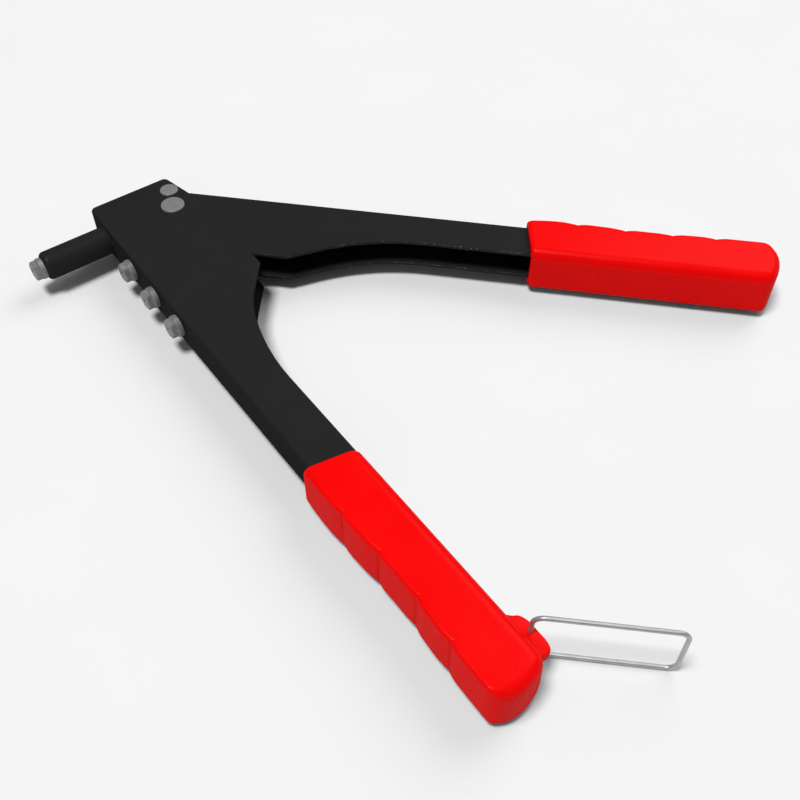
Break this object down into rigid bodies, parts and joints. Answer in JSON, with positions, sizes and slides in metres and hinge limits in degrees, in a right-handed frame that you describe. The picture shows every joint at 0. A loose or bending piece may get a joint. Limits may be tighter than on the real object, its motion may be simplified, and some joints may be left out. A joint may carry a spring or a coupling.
{
  "type": "hand riveter",
  "caption": "Lever hand riveter with a folded steel body, pivoting lever, pull jaws in a barrel, spare nosepieces on the body, moulded grips and a wire locking bail.",
  "frame": {"origin": "centre of the fitted nosepiece's mouth, on the nose axis and at mid-thickness", "axes": "-X points out of the nose and +X into the tool, the fixed handle runs towards -Y, +Z is normal to the plane of the handles (the tool lies on its side)"},
  "size_m": [0.2442, 0.2903, 0.0242],
  "materials": {
    "black_paint": "semi-gloss baked black enamel",
    "plated_steel": "turned and zinc plated",
    "pin_steel": "plain cold-headed steel",
    "dark_steel": "hardened and blackened",
    "spring_steel": "oiled spring wire and strip",
    "bail_wire": "bright drawn wire",
    "red_vinyl": "glossy moulded PVC"
  },
  "bodies": {
    "riveter_body": {"body_channel": "black_paint", "barrel": "black_paint", "barrel_nut": "plated_steel", "barrel_plug": "dark_steel", "nosepiece": "plated_steel", "spare_nosepiece_large": "plated_steel", "spare_nosepiece_medium": "plated_steel", "spare_nosepiece_small": "plated_steel", "fulcrum_pin": "pin_steel", "stop_pin": "pin_steel", "fulcrum_clip": "spring_steel", "stop_clip": "spring_steel", "return_spring": "spring_steel", "fixed_grip": "red_vinyl"},
    "lever": {"lever_channel": "black_paint", "lever_grip": "red_vinyl"},
    "jaw_case": {"jaw_case": "dark_steel", "pull_rod": "dark_steel", "lock_ring": "dark_steel", "pull_pin": "pin_steel", "jaw_spring": "spring_steel"},
    "upper_jaw": {"jaw_upper": "dark_steel"},
    "lower_jaw": {"jaw_lower": "dark_steel"},
    "pusher": {"jaw_pusher": "dark_steel"},
    "bail": {"bail": "bail_wire"}
  },
  "joints": [
    {"name": "lever_pivot", "type": "hinge", "parent": "riveter_body", "child": "lever", "pos_m": [0.0627, -0.0059, 0], "axis": [0, 0, -1], "range_deg": [0, 43]},
    {"name": "jaw_case_slide", "type": "slide", "parent": "riveter_body", "child": "jaw_case", "axis": [1, 0, 0], "range_m": [0, 0.00466], "deforming": ["return_spring"]},
    {"name": "upper_jaw_slide", "type": "slide", "parent": "jaw_case", "child": "upper_jaw", "axis": [-0.9848, -0.1736, 0], "range_m": [0, 0.00221]},
    {"name": "lower_jaw_slide", "type": "slide", "parent": "jaw_case", "child": "lower_jaw", "axis": [-0.9848, 0.1736, 0], "range_m": [0, 0.00221]},
    {"name": "pusher_slide", "type": "slide", "parent": "jaw_case", "child": "pusher", "axis": [-1, 0, 0], "range_m": [0, 0.00179], "deforming": ["jaw_spring"]},
    {"name": "bail_swing", "type": "hinge", "parent": "riveter_body", "child": "bail", "pos_m": [0.0554, -0.2438, 0], "axis": [0, 0, 1], "range_deg": [-190, 98]}
  ],
  "couplings": [
    {"joint": "jaw_case_slide", "follows": "lever_pivot", "m_per_rad": 0.0061935},
    {"joint": "upper_jaw_slide", "follows": "lever_pivot", "m_per_rad": 0.0029314},
    {"joint": "lower_jaw_slide", "follows": "lever_pivot", "m_per_rad": 0.0029314},
    {"joint": "pusher_slide", "follows": "lever_pivot", "m_per_rad": 0.0023778}
  ]
}
